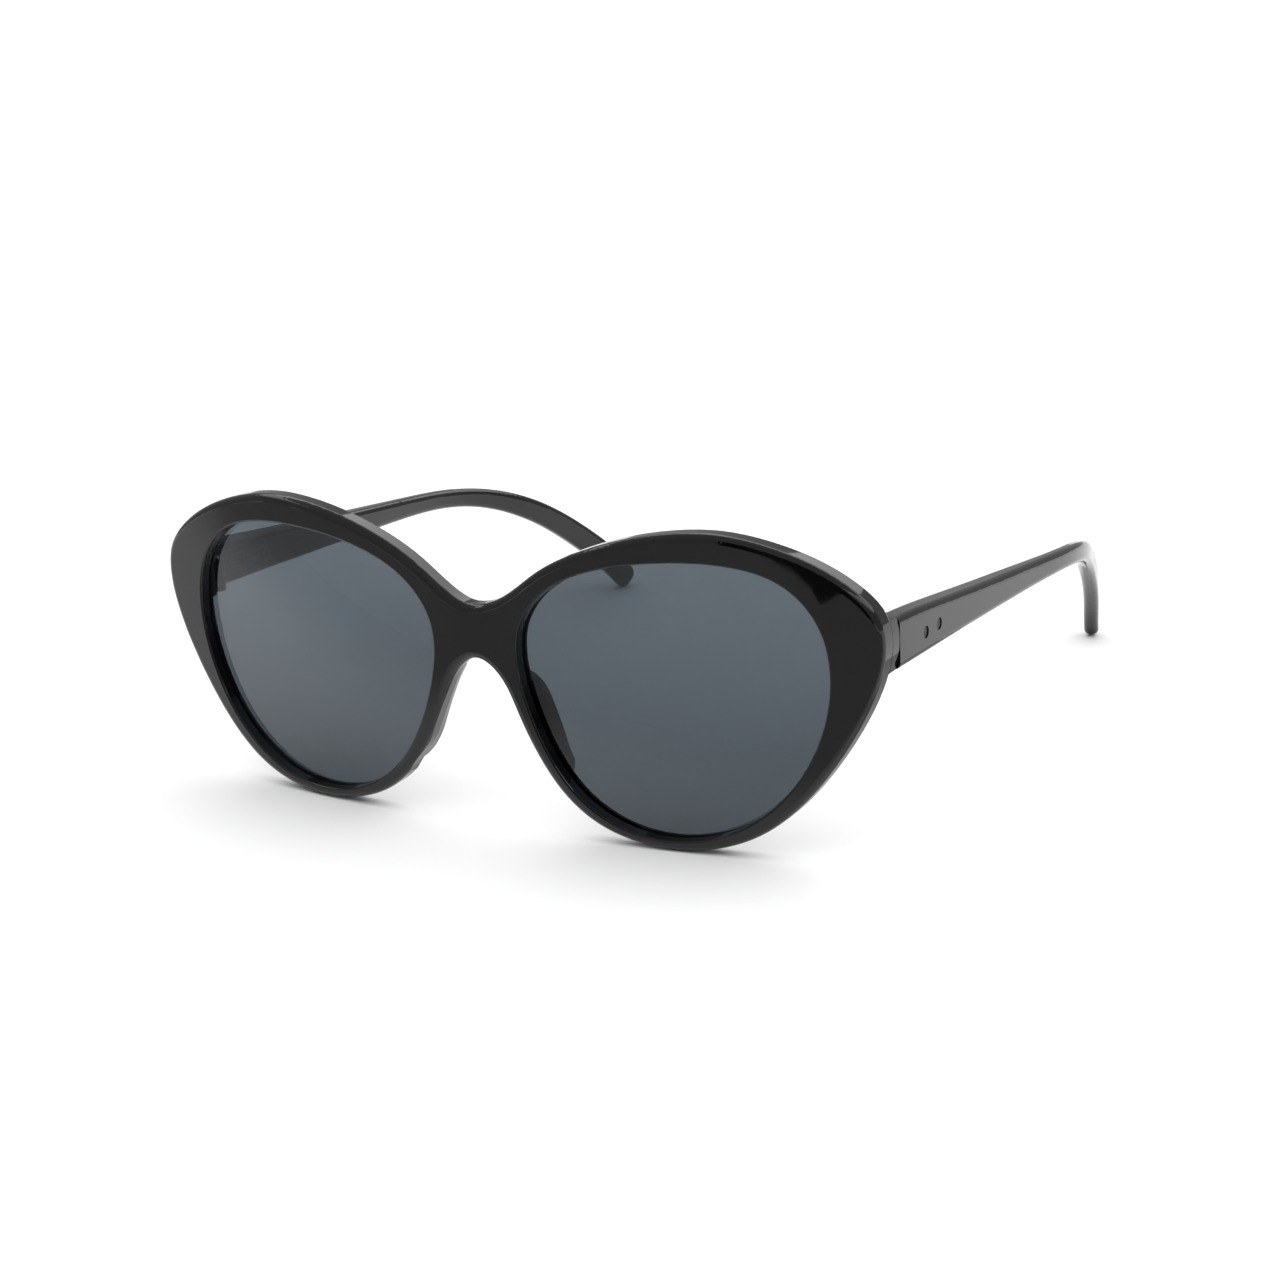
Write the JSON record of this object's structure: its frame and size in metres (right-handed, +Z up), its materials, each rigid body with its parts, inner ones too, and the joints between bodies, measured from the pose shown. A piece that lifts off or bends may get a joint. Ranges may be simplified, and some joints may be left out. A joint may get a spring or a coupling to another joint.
{
  "type": "cat eye sunglasses",
  "caption": "Upswept cat eye sunglasses: a glossy one-piece front with smoke lenses and bonded nose pads, and slim bent temples that fold in on three-barrel hinges.",
  "frame": {"origin": "middle of the bounding box seen from above, at the level the rims and temple ends rest on", "axes": "+X towards the wearer's left, +Y back along the temples from the front to the ears, +Z up"},
  "size_m": [0.1392, 0.1446, 0.0529],
  "materials": {
    "front_black": "polished black",
    "temple_black": "polished black",
    "pad_black": "polished black",
    "lens_smoke": "smoke tint, polished",
    "hinge_metal": "blackened, satin",
    "screw_metal": "satin",
    "core_metal": "drawn wire",
    "rivet_dark": "dark"
  },
  "bodies": {
    "front": {"front_frame": "front_black", "lens_left": "lens_smoke", "nose_pad_left": "pad_black", "hinge_front_left": "hinge_metal", "hinge_screw_left": "screw_metal", "lens_right": "lens_smoke", "nose_pad_right": "pad_black", "hinge_front_right": "hinge_metal", "hinge_screw_right": "screw_metal"},
    "temple_arm_left": {"temple_left": "temple_black", "hinge_temple_left": "hinge_metal", "core_wire_left": "core_metal", "temple_rivet_front_left": "rivet_dark", "temple_rivet_rear_left": "rivet_dark"},
    "temple_arm_right": {"temple_right": "temple_black", "hinge_temple_right": "hinge_metal", "core_wire_right": "core_metal", "temple_rivet_front_right": "rivet_dark", "temple_rivet_rear_right": "rivet_dark"}
  },
  "joints": [
    {"name": "temple_fold_left", "type": "hinge", "parent": "front", "child": "temple_arm_left", "pos_m": [0.0632, -0.05791, 0.03431], "axis": [0, 0, 1], "range_deg": [0, 87]},
    {"name": "temple_fold_right", "type": "hinge", "parent": "front", "child": "temple_arm_right", "pos_m": [-0.0632, -0.05791, 0.03431], "axis": [0, 0, -1], "range_deg": [0, 80]}
  ]
}
